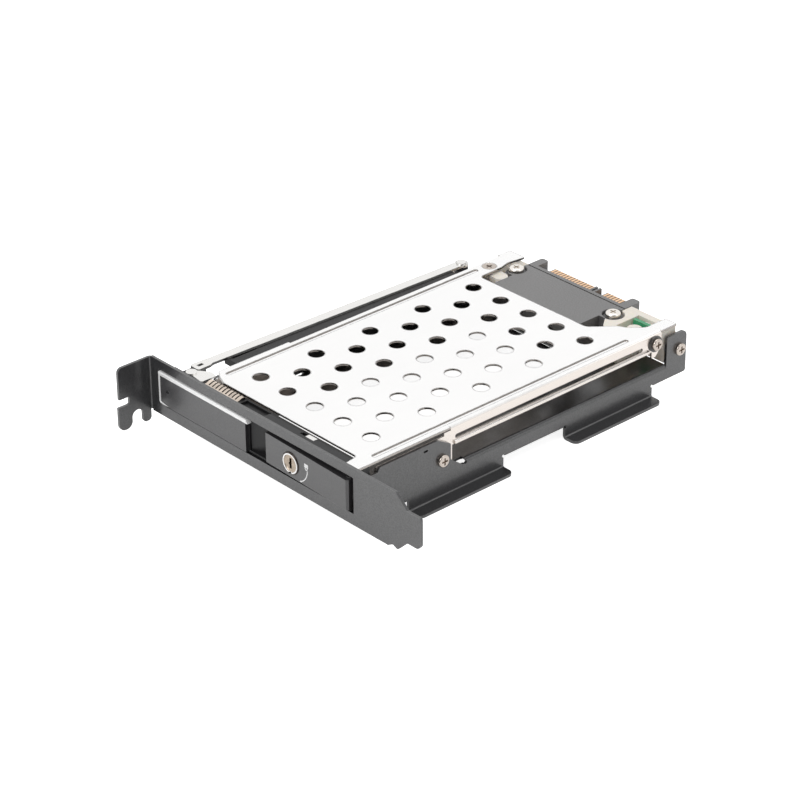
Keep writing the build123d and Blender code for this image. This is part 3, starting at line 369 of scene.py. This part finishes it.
def speckle_gloss(wire, shader, height, speckle):
    """Let the grain's height vary the coat and the shine under it, by up to the speckle's share."""
    gloss = wire.span(height, MIDDLE_OF_NOISE, (1.0 - speckle, 1.0))
    wire.join(gloss, shader.inputs["Coat Weight"])
    shine = shader.inputs["Specular IOR Level"]
    mean_gloss = 1.0 - speckle / 2
    wire.join(wire.maths("MULTIPLY", gloss, shine.default_value / mean_gloss), shine)


def coated_finish(name, colour, roughness, grain=1800.0, relief=0.02 * MM, worn=(0.3, 0.3, 0.31),
                  wear=0.35, dust=0.2, shade=0.25, speckle=0.0, **constants):
    """A painted, moulded or anodised surface: grain, rubbed edges, a little dust and a speckled gloss."""
    material, wire, shader = new_finish(name, **constants)
    base = place_group(wire, "Rack grain", {"Scale": grain, "Colour": opaque(colour), "Shade": shade,
                                            "Roughness": roughness, "Spread": 0.06})
    edge = place_group(wire, "Rack rubbed edge", {"Amount": wear})
    specks = place_group(wire, "Rack dust", {"Amount": dust})
    rubbed = wire.mix(edge.outputs["Mask"], base.outputs["Color"], opaque(worn))
    dusty = wire.mix(specks.outputs["Mask"], rubbed, opaque(DUST_COLOUR))
    if speckle > 0:
        speckle_gloss(wire, shader, base.outputs["Height"], speckle)
    join_surface(wire, shader, base, dusty, relief)
    return material


def satin_finish(name, colour, grain, relief, wear):
    """The dark satin of the door's plate and of the handle."""
    return coated_finish(name, colour, 0.3, grain=grain, relief=relief, wear=wear, dust=0.1, shade=0.2,
                         speckle=0.25, Coat_IOR=1.5, Coat_Roughness=0.25)


def nylon_finish(name, colour):
    """Ivory nylon that lets a little light in."""
    return coated_finish(name, colour, 0.4, grain=1200.0, relief=0.01 * MM, worn=(0.93, 0.91, 0.85),
                         wear=0.2, dust=0.0, shade=0.08, Subsurface_Weight=0.15,
                         Subsurface_Radius=(2 * MM, 1.5 * MM, 1 * MM), Subsurface_Scale=1.0)


def paint_cover_shade(wire, tone, up, side):
    """Paint shade and reflection on the cover's steep faces, painted shade on the top sheet's cut edges, and
    painted shade in its crevices.
    """
    # Painted shade and reflection: steep faces take the darker, warmer side colour
    tone = wire.mix(wire.span(up, LEVEL_TO_STEEP), tone, opaque(side))
    # Painted shade on the top sheet's cut edges, such as the vents' walls: half the side colour
    sheet_bottom = COVER_BOX[1].z - CUT_EDGE_DEPTH
    in_top_sheet = wire.maths("GREATER_THAN", wire.z_of(wire.coordinates()), sheet_bottom)
    cut_edge_shade = wire.maths("MULTIPLY", wire.span(up, STEEP_TO_UPRIGHT), in_top_sheet)
    tone = wire.mix(cut_edge_shade, tone, opaque(side, CUT_EDGE_SHADE_SHARE))
    # Painted shade in crevices, where ambient occlusion is low
    around = wire.node("ShaderNodeAmbientOcclusion", {"Distance": CREVICE_REACH}, samples=4)
    crevice_shade = wire.span(around.outputs["AO"], CREVICE_LIGHT, (CREVICE_SHADE_STRENGTH, 0.0))
    return wire.mix(crevice_shade, tone, opaque(CREVICE_SHADE_COLOUR))


def ring_mask(wire, inner, outer):
    """1 on a ring round a piece's Y axis, between two shares of the piece's outer radius."""
    from_centre = wire.vector("ADD", wire.coordinates("Generated"), (-0.5, -0.5, -0.5))
    radius = wire.vector("LENGTH", wire.vector("MULTIPLY", from_centre, (2.0, 0.0, 2.0)))
    return wire.maths("MULTIPLY", wire.maths("GREATER_THAN", radius, inner),
                      wire.maths("LESS_THAN", radius, outer))


def sheet_finish(name, colour, roughness, stretch, relief=0.004 * MM, shade=0.06, edge_dark=0.25,
                 edge_reach=0.12 * MM, dark_edge_share=0.4, side=None, groove_shade=None, **constants):
    """A bright metal: streaks along the sheet, and edges that are darker where they are cut. Strong edge
    darkening, as on the cover, is painted shade round holes.

    A side colour is for the cover alone: painted shade and reflection on its steep faces, and painted shade
    on its cut edges and in its crevices. Two shares of the outer radius mark where a dark ring of painted
    shade goes."""
    material, wire, shader = new_finish(name, Metallic=1.0, **constants)
    base = place_group(wire, "Rack drawn sheet", {"Stretch": stretch, "Colour": opaque(colour),
                                                  "Shade": shade, "Roughness": roughness, "Spread": 0.08})
    edge = place_group(wire, "Rack rubbed edge", {"Amount": edge_dark, "Reach": edge_reach})
    tone = base.outputs["Color"]
    mask = edge.outputs["Mask"]
    # On the cover, the side colour paints shade and reflection on steep faces, and shade on cut edges and in
    # crevices
    if side:
        up = wire.z_of(wire.surface_normal())
        tone = paint_cover_shade(wire, tone, up, side)
        # Keep the painted rim shade mostly to faces that look up
        steep_share = 0.2
        mask = wire.maths("MULTIPLY", mask, wire.span(up, (0.5, 0.9), (steep_share, 1.0)))
    # A dark ring of painted shade on the lock barrel's face
    if groove_shade:
        tone = wire.mix(ring_mask(wire, *groove_shade), tone, opaque(GROOVE_SHADE_COLOUR))
    # Edges darker where they are cut; on the cover, strongly so as painted shade round the vents' rims
    cut = wire.mix(mask, tone, opaque(colour, dark_edge_share))
    join_surface(wire, shader, base, cut, relief)
    return material


def window_finish(name):
    """Smoky clear plastic with a faint grain."""
    material, wire, shader = new_finish(name, Transmission_Weight=0.4, IOR=1.49)
    tint = place_group(wire, "Rack grain", {"Scale": 900.0, "Colour": (0.05, 0.05, 0.055, 1.0),
                                            "Roughness": 0.08})
    wire.join(tint.outputs["Color"], shader.inputs["Base Color"])
    wire.join(tint.outputs["Roughness"], shader.inputs["Roughness"])
    return material


# Dressing the frame's pieces


def soften_edges(piece, width):
    """Round the sharp edges of a piece so that they catch the light."""
    weld = piece.modifiers.new("Join facets", "WELD")
    weld.merge_threshold = 0.001 * MM
    bevel = piece.modifiers.new("Soft edges", "BEVEL")
    bevel.width = width
    bevel.segments = 2
    bevel.limit_method = "ANGLE"
    bevel.angle_limit = math.radians(40)
    bevel.harden_normals = True


def dress(names, material, width=0.0):
    """Give the named pieces a finish, and soft edges where a width is given."""
    for name in names:
        piece = NODES[name]
        piece.data.materials.clear()
        piece.data.materials.append(material)
        if width > 0:
            soften_edges(piece, width)


class RackPiece:
    """What the rack's operators have in common."""

    bl_options = {"REGISTER", "UNDO"}


class RACK_OT_brackets(RackPiece, Operator):
    """Give the slot bracket, the side brackets and the rear bridge their satin black powder coat"""

    bl_idname = "rack.brackets"
    bl_label = "Coat brackets"

    def execute(self, context):
        scene = context.scene
        coat = coated_finish("Powder coat", scene.rack_finishes.powder_coat, 0.3, grain=2400.0, wear=0.25,
                             speckle=0.25, Specular_IOR_Level=0.9, Coat_IOR=1.45, Coat_Roughness=0.22)
        dress(("slot_bracket", "right_side_bracket", "left_side_bracket", "rear_bridge"), coat,
              scene.rack_sizes.sheet_edge)
        return {"FINISHED"}


class RACK_OT_cover(RackPiece, Operator):
    """Give the perforated cover its bright, nearly polished stainless finish, with painted shade and
    reflection on its steep faces and painted shade on its rims, cut edges and crevices
    """

    bl_idname = "rack.cover"
    bl_label = "Polish cover"

    def execute(self, context):
        scene = context.scene
        # The side colour is painted shade and reflection on the steep faces; the strong, wide edge darkening
        # is painted shade round the vents' rims
        steel = sheet_finish("Cover steel", scene.rack_finishes.cover, 0.22, (900.0, 40.0, 900.0),
                             shade=0.04, edge_dark=1.6, edge_reach=0.6 * MM, dark_edge_share=0.16,
                             side=(0.8, 0.74, 0.69))
        dress(("top_cover",), steel, scene.rack_sizes.steel_edge)
        return {"FINISHED"}


class RACK_OT_front(RackPiece, Operator):
    """Finish the moulding behind the plate with its keeper, grounding fingers and hinge plate"""

    bl_idname = "rack.front"
    bl_label = "Finish front housing"

    def execute(self, context):
        scene = context.scene
        colours = scene.rack_finishes
        sizes = scene.rack_sizes
        moulding = coated_finish("Black moulding", colours.moulding, 0.5, grain=3000.0, wear=0.2)
        dress(("front_housing",), moulding, sizes.moulded_edge)
        zinc = sheet_finish("Zinc plate", colours.zinc, 0.22, STREAKS_ALONG_X)
        dress(("keeper_plate", "hinge_plate", "hinge_pin"), zinc, sizes.small_edge)
        bronze = sheet_finish("Spring bronze", colours.bronze, 0.2, STREAKS_ALONG_Y, shade=1.2,
                              relief=0.03 * MM)
        dress(("grounding_fingers",), bronze)
        return {"FINISHED"}


class RACK_OT_door(RackPiece, Operator):
    """Finish the door with its plate, bright strip, light window, spring and lever pin"""

    bl_idname = "rack.door"
    bl_label = "Finish door"

    def execute(self, context):
        scene = context.scene
        colours = scene.rack_finishes
        sizes = scene.rack_sizes
        moulding = coated_finish("Door moulding", colours.moulding, 0.45, grain=3000.0, wear=0.25)
        dress(("door",), moulding, sizes.moulded_edge)
        plate = satin_finish("Door plate satin", colours.anodised, grain=4000.0, relief=0.01 * MM,
                             wear=0.2)
        dress(("door_plate",), plate)
        strip = coated_finish("Bright strip", (1.0, 1.0, 1.0), 0.25, grain=900.0, relief=0.002 * MM,
                              worn=(0.9, 0.9, 0.9), wear=0.1, dust=0.0, shade=0.03, Metallic=0.15,
                              Coat_Weight=0.5)
        dress(("door_trim",), strip, sizes.small_edge)
        spring = sheet_finish("Spring steel", (0.5, 0.49, 0.47), 0.3, STREAKS_ALONG_Y)
        dress(("detent_spring", "lever_pin"), spring)
        dress(("status_lens",), window_finish("Light window"))
        return {"FINISHED"}


class RACK_OT_lever(RackPiece, Operator):
    """Finish the handle and the lock with its barrel, brass core, cam and nut"""

    bl_idname = "rack.lever"
    bl_label = "Finish lever and lock"

    def execute(self, context):
        scene = context.scene
        colours = scene.rack_finishes
        sizes = scene.rack_sizes
        satin = satin_finish("Lever satin", colours.lever, grain=3500.0, relief=0.012 * MM, wear=0.25)
        dress(("lever",), satin, sizes.moulded_edge)
        # The dark ring on the barrel's face is painted shade
        chrome = sheet_finish("Lock chrome", (0.9, 0.89, 0.88), 0.1, NO_STREAKS, shade=0.05,
                              groove_shade=(0.88, 1.5))
        dress(("lock_barrel",), chrome, sizes.small_edge)
        brass = sheet_finish("Lock brass", colours.brass, 0.3, (700.0, 500.0, 900.0), shade=1.1,
                             relief=0.04 * MM)
        dress(("lock_core",), brass, sizes.small_edge)
        steel = sheet_finish("Cam steel", (0.55, 0.54, 0.52), 0.3, (400.0, 400.0, 400.0))
        dress(("lock_cam", "lock_nut"), steel, sizes.small_edge)
        return {"FINISHED"}


class RACK_OT_ejector(RackPiece, Operator):
    """Finish the eject rod with its guide, bush and rivet, and the ivory eject lever"""

    bl_idname = "rack.ejector"
    bl_label = "Finish ejector"

    def execute(self, context):
        scene = context.scene
        colours = scene.rack_finishes
        sizes = scene.rack_sizes
        rod = sheet_finish("Rod steel", colours.zinc, 0.2, (900.0, 25.0, 900.0), edge_dark=1.2,
                           edge_reach=0.4 * MM, dark_edge_share=0.25)
        dress(("eject_rod", "rod_rivet"), rod, sizes.steel_edge)
        moulding = coated_finish("Guide moulding", colours.moulding, 0.5, grain=2600.0, wear=0.2)
        dress(("rod_guide", "rod_bush"), moulding, sizes.moulded_edge)
        dress(("eject_lever",), nylon_finish("Lever nylon", colours.nylon), sizes.moulded_edge)
        return {"FINISHED"}


class RACK_OT_connector(RackPiece, Operator):
    """Finish the drive connector, its gilt contacts, its carrier and the little light board"""

    bl_idname = "rack.connector"
    bl_label = "Finish connector"

    def execute(self, context):
        scene = context.scene
        colours = scene.rack_finishes
        sizes = scene.rack_sizes
        body = coated_finish("Connector plastic", (0.125, 0.122, 0.122), 0.42, grain=2500.0,
                             relief=0.015 * MM, wear=0.25, shade=0.6, speckle=0.4, Coat_Roughness=0.35)
        dress(("connector",), body, sizes.moulded_edge)
        gilt = sheet_finish("Contact gilt", colours.gilt, 0.18, (900.0, 60.0, 900.0), shade=0.12)
        dress(("power_contacts", "data_contacts"), gilt)
        dress(("connector_carrier",), nylon_finish("Carrier nylon", colours.nylon), sizes.moulded_edge)
        board = coated_finish("Solder mask", colours.board, 0.25, grain=1500.0, relief=0.008 * MM,
                              worn=(0.75, 0.68, 0.4), wear=0.4, dust=0.0, shade=0.3)
        dress(("indicator_pcb",), board)
        lamp = coated_finish("Light housing", (0.82, 0.83, 0.8), 0.3, grain=900.0, worn=(0.9, 0.9, 0.88),
                             dust=0.0, shade=0.05)
        dress(("indicator_led",), lamp)
        return {"FINISHED"}


class RACK_OT_screws(RackPiece, Operator):
    """Give the screws their nickel plate and the washers their dark finish"""

    bl_idname = "rack.screws"
    bl_label = "Finish screws"

    def execute(self, context):
        scene = context.scene
        sizes = scene.rack_sizes
        nickel = sheet_finish("Nickel plate", scene.rack_finishes.nickel, 0.16, NO_STREAKS, shade=0.1,
                              edge_dark=0.35)
        dress(("side_screws", "cage_screw", "lever_screw"), nickel, sizes.small_edge)
        bright = sheet_finish("Bright nickel", (0.88, 0.84, 0.79), 0.2, NO_STREAKS, shade=0.1,
                              edge_dark=0.5)
        dress(("connector_screws",), bright, sizes.small_edge)
        dark = sheet_finish("Dark steel", (0.12, 0.12, 0.12), 0.35, NO_STREAKS, shade=0.2)
        dress(("connector_washers", "cage_washer"), dark)
        return {"FINISHED"}


# Printed sign, with places from the lock's centre, X to the right and Z up

PADLOCK_PLACE = Vector((7.0, 2.05)) * MM
ARROW_CENTRE = Vector((2.3, 0.7)) * MM
ARROW_RADIUS = 5.2 * MM
ARROW_START = math.radians(-1)
ARROW_END = math.radians(-64)
ARROWHEAD_HALF_WIDTH = 0.35 * MM
ARROWHEAD_LENGTH = 0.7 * MM

# The padlock's parts as they are drawn, at a height of 2.11 from the body's top to the shackle's end
PADLOCK_HEIGHT = 2.11
PADLOCK_HALF_BODY = Vector((0.85, 0.62))
SHACKLE_RADIUS = 0.45
SHACKLE_LEG = 0.25

# The lever's front slopes from the plane of the bracket's face to a bevel at the lever's hinged end
LEVER_BACK_DEPTH = 1.6 * MM
LEVER_END_BEVEL = 0.6 * MM
PRINT_PROUD = 0.02 * MM


def direction(turn):
    """The unit vector at an angle from the first axis."""
    return Vector((math.cos(turn), math.sin(turn)))


def arc_points(centre, radius, start, end, count):
    """Points along an arc, one more than count."""
    return [centre + direction(start + (end - start) * i / count) * radius for i in range(count + 1)]


def stroke(points, width):
    """The outline of a flat line of the given width along points, with square ends."""
    left = []
    right = []
    for i, point in enumerate(points):
        ahead = points[min(i + 1, len(points) - 1)] - points[max(i - 1, 0)]
        side = Vector((-ahead.y, ahead.x)).normalized() * width / 2
        left.append(point + side)
        right.append(point - side)
    return left + right[::-1]


def padlock(place, height, width):
    """Outlines of a padlock's body about a place and of its shackle, which hangs below the body."""
    unit = height / PADLOCK_HEIGHT
    half = PADLOCK_HALF_BODY * unit
    body = [place + Vector((half.x * x, half.y * y)) for x, y in ((-1, -1), (1, -1), (1, 1), (-1, 1))]
    foot = place - Vector((0, half.y))
    leg = Vector((SHACKLE_RADIUS, 0)) * unit
    bow_centre = foot - Vector((0, SHACKLE_LEG)) * unit
    bow = arc_points(bow_centre, SHACKLE_RADIUS * unit, -math.pi, 0.0, count=12)
    return [body, stroke([foot - leg, *bow, foot + leg], width)]


def turning_arrow(centre, width):
    """Outlines of an arc that turns down round a centre and of the arrowhead at its end."""
    arc = arc_points(centre, ARROW_RADIUS, ARROW_START, ARROW_END, count=20)
    out = direction(ARROW_END)
    along = Vector((out.y, -out.x))
    tip = centre + out * ARROW_RADIUS
    head = [tip + out * ARROWHEAD_HALF_WIDTH, tip - out * ARROWHEAD_HALF_WIDTH,
            tip + along * ARROWHEAD_LENGTH]
    return [stroke(arc, width), head]


def lever_face_point(point):
    """A point of the lever's sloping front, just proud of it, from its X and Z."""
    low, high = LEVER_BOX
    share = (point.x - low.x) / (high.x - LEVER_END_BEVEL - low.x)
    front_at_pull = high.y - LEVER_BACK_DEPTH
    front = front_at_pull + (low.y - front_at_pull) * share
    return Vector((point.x, front - PRINT_PROUD, point.y))


class RACK_OT_print(RackPiece, Operator):
    """Print the padlock and the turning arrow on the lever"""

    bl_idname = "rack.print"
    bl_label = "Print lock sign"

    def execute(self, context):
        scene = context.scene
        sizes = scene.rack_sizes
        lock = ((LOCK_BOX[0] + LOCK_BOX[1]) / 2).xz
        shapes = [*padlock(lock + PADLOCK_PLACE, sizes.print_height, sizes.print_stroke),
                  *turning_arrow(lock + ARROW_CENTRE, sizes.print_stroke)]
        faces = bmesh.new()
        for shape in shapes:
            faces.faces.new([faces.verts.new(lever_face_point(point)) for point in shape])
        mesh = bpy.data.meshes.new("Lock sign")
        faces.to_mesh(mesh)
        faces.free()
        sign = bpy.data.objects.new("lock_sign", mesh)
        scene.collection.objects.link(sign)
        paint = coated_finish("Sign print", scene.rack_finishes.print_white, 0.5, grain=2500.0,
                              worn=(0.6, 0.6, 0.6), wear=0.0, dust=0.0, shade=0.12)
        mesh.materials.append(paint)
        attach(sign, "lever")
        return {"FINISHED"}


# Studio

# The floor lies a little below the feet, so that their soles aren't in its plane
FLOOR_DROP = 0.05 * MM
FLOOR_SIDE = 30.0
FLOOR_GLOW = 0.85
FLOOR_GLOSS_SHARE = 0.45

# Strength of the surround as a light, and the cosines between which it dims toward the camera's side
SURROUND_LIGHT = 0.55
FRONT_EDGE = (0.6, 0.95)

# Name, place and side of each square lamp, and the setting that holds its power
LAMPS = (("Key lamp", (0.15, -1.1, 0.9), 0.8, "key_power"),
         ("Side lamp", (1.2, 0.3, 0.6), 0.9, "side_power"),
         ("Top lamp", (-0.2, 0.2, 1.3), 1.0, "top_power"))


def seen_share(wire, gloss_share=1.0):
    """1 for rays from the camera or through glass, a share for mirrored rays and 0 for the others."""
    path = wire.node("ShaderNodeLightPath")
    gloss = wire.maths("MULTIPLY", path.outputs["Is Glossy Ray"], gloss_share)
    shown = wire.maths("ADD", path.outputs["Is Camera Ray"], gloss)
    return wire.maths("ADD", shown, path.outputs["Is Transmission Ray"], clamp=True)


def lay_floor(context):
    """A wide pale floor that is white where it is seen and keeps the rack's shadow."""
    bpy.ops.mesh.primitive_grid_add(x_subdivisions=1, y_subdivisions=1, size=FLOOR_SIDE,
                                    location=(0.0, 0.0, -FLOOR_DROP))
    floor = context.active_object
    floor.name = "Studio floor"
    paper, wire, shader = new_finish("Floor paper", Roughness=0.9, Emission_Color=(1.0, 1.0, 1.0, 1.0))
    grain = place_group(wire, "Rack grain", {"Scale": 300.0, "Colour": (0.9, 0.9, 0.9, 1.0),
                                             "Shade": 0.01, "Roughness": 0.9})
    wire.join(grain.outputs["Color"], shader.inputs["Base Color"])
    glow = wire.maths("MULTIPLY", seen_share(wire, FLOOR_GLOSS_SHARE), FLOOR_GLOW)
    wire.join(glow, shader.inputs["Emission Strength"])
    floor.data.materials.append(paper)


def build_surround(scene):
    """A white world that is dimmer on the camera's side, so that faces turned there stay dark."""
    world = bpy.data.worlds.new("Studio surround")
    scene.world = world
    world.use_nodes = True
    wire = Wiring(world.node_tree)
    background = world.node_tree.nodes["Background"]
    background.inputs["Color"].default_value = (1.0, 1.0, 1.0, 1.0)
    toward_camera = Vector(scene.rack_studio.camera_place).normalized()
    front = wire.vector("DOT_PRODUCT", wire.coordinates("Generated"), toward_camera)
    dimmed = wire.span(front, FRONT_EDGE, (1.0, scene.rack_studio.front_share))
    light = wire.span(seen_share(wire), (0.0, 1.0), (SURROUND_LIGHT, 1.0))
    wire.join(wire.maths("MULTIPLY", light, dimmed), background.inputs["Strength"])


def area_lamp(scene, name, place, aim, side, power):
    """A square soft lamp that looks at a point."""
    light = bpy.data.lights.new(name, "AREA")
    light.shape = "SQUARE"
    light.size = side
    light.energy = power
    lamp = bpy.data.objects.new(name, light)
    lamp.location = place
    lamp.rotation_mode = "QUATERNION"
    lamp.rotation_quaternion = (aim - Vector(place)).to_track_quat("-Z", "Y")
    scene.collection.objects.link(lamp)


def place_camera(scene):
    """The camera at the photograph's place, turned by azimuth, elevation and roll."""
    settings = scene.rack_studio
    camera = bpy.data.objects.new("Photo camera", bpy.data.cameras.new("Photo camera"))
    scene.collection.objects.link(camera)
    scene.camera = camera
    camera.data.sensor_width = 36.0
    camera.data.lens = settings.focal_length
    camera.data.clip_start = 0.01
    camera.data.clip_end = 100.0
    azimuth = settings.azimuth
    elevation = settings.elevation
    roll = settings.roll
    back = Vector((math.sin(azimuth) * math.cos(elevation), -math.cos(azimuth) * math.cos(elevation),
                   math.sin(elevation)))
    level_right = Vector((math.cos(azimuth), math.sin(azimuth), 0.0))
    level_up = back.cross(level_right)
    right = level_right * math.cos(roll) + level_up * math.sin(roll)
    up = level_up * math.cos(roll) - level_right * math.sin(roll)
    turn = Matrix((right, up, back)).transposed().to_4x4()
    camera.matrix_world = Matrix.Translation(settings.camera_place) @ turn


class RACK_OT_studio(RackPiece, Operator):
    """Set up the pale floor, the white surround, the soft lamps and the camera"""

    bl_idname = "rack.studio"
    bl_label = "Build studio"

    def execute(self, context):
        scene = context.scene
        lay_floor(context)
        build_surround(scene)
        middle = (CAD_BOX[0] + CAD_BOX[1]) / 2
        for name, place, side, power in LAMPS:
            area_lamp(scene, name, place, middle, side, getattr(scene.rack_studio, power))
        place_camera(scene)
        scene.view_settings.view_transform = "Standard"
        return {"FINISHED"}


# Panel and registration

PIECES = (RACK_OT_brackets, RACK_OT_cover, RACK_OT_front, RACK_OT_door, RACK_OT_lever, RACK_OT_ejector,
          RACK_OT_connector, RACK_OT_screws, RACK_OT_print, RACK_OT_studio)


class RACK_PT_panel(Panel):
    """The rack's steps and settings in the 3D view's sidebar"""

    bl_label = "Drive rack"
    bl_idname = "RACK_PT_panel"
    bl_space_type = "VIEW_3D"
    bl_region_type = "UI"
    bl_category = "Drive rack"

    def draw(self, context):
        column = self.layout.column(align=True)
        for piece in PIECES:
            column.operator(piece.bl_idname)
        for group in (context.scene.rack_finishes, context.scene.rack_sizes, context.scene.rack_studio):
            box = self.layout.box()
            for name in group.__annotations__:
                box.prop(group, name)


CLASSES = (RackFinishes, RackSizes, RackStudio, *PIECES, RACK_PT_panel)


def register():
    """Register the classes and hang the settings on the scene."""
    for cls in CLASSES:
        bpy.utils.register_class(cls)
    bpy.types.Scene.rack_finishes = PointerProperty(type=RackFinishes)
    bpy.types.Scene.rack_sizes = PointerProperty(type=RackSizes)
    bpy.types.Scene.rack_studio = PointerProperty(type=RackStudio)


def unregister():
    """Take everything away again."""
    del bpy.types.Scene.rack_studio
    del bpy.types.Scene.rack_sizes
    del bpy.types.Scene.rack_finishes
    for cls in reversed(CLASSES):
        bpy.utils.unregister_class(cls)


def main():
    """Register the rack's classes, dress the rack piece by piece and build the studio."""
    register()
    for piece in PIECES:
        group, step = piece.bl_idname.split(".")
        getattr(getattr(bpy.ops, group), step)()


if __name__ == "__main__":
    main()
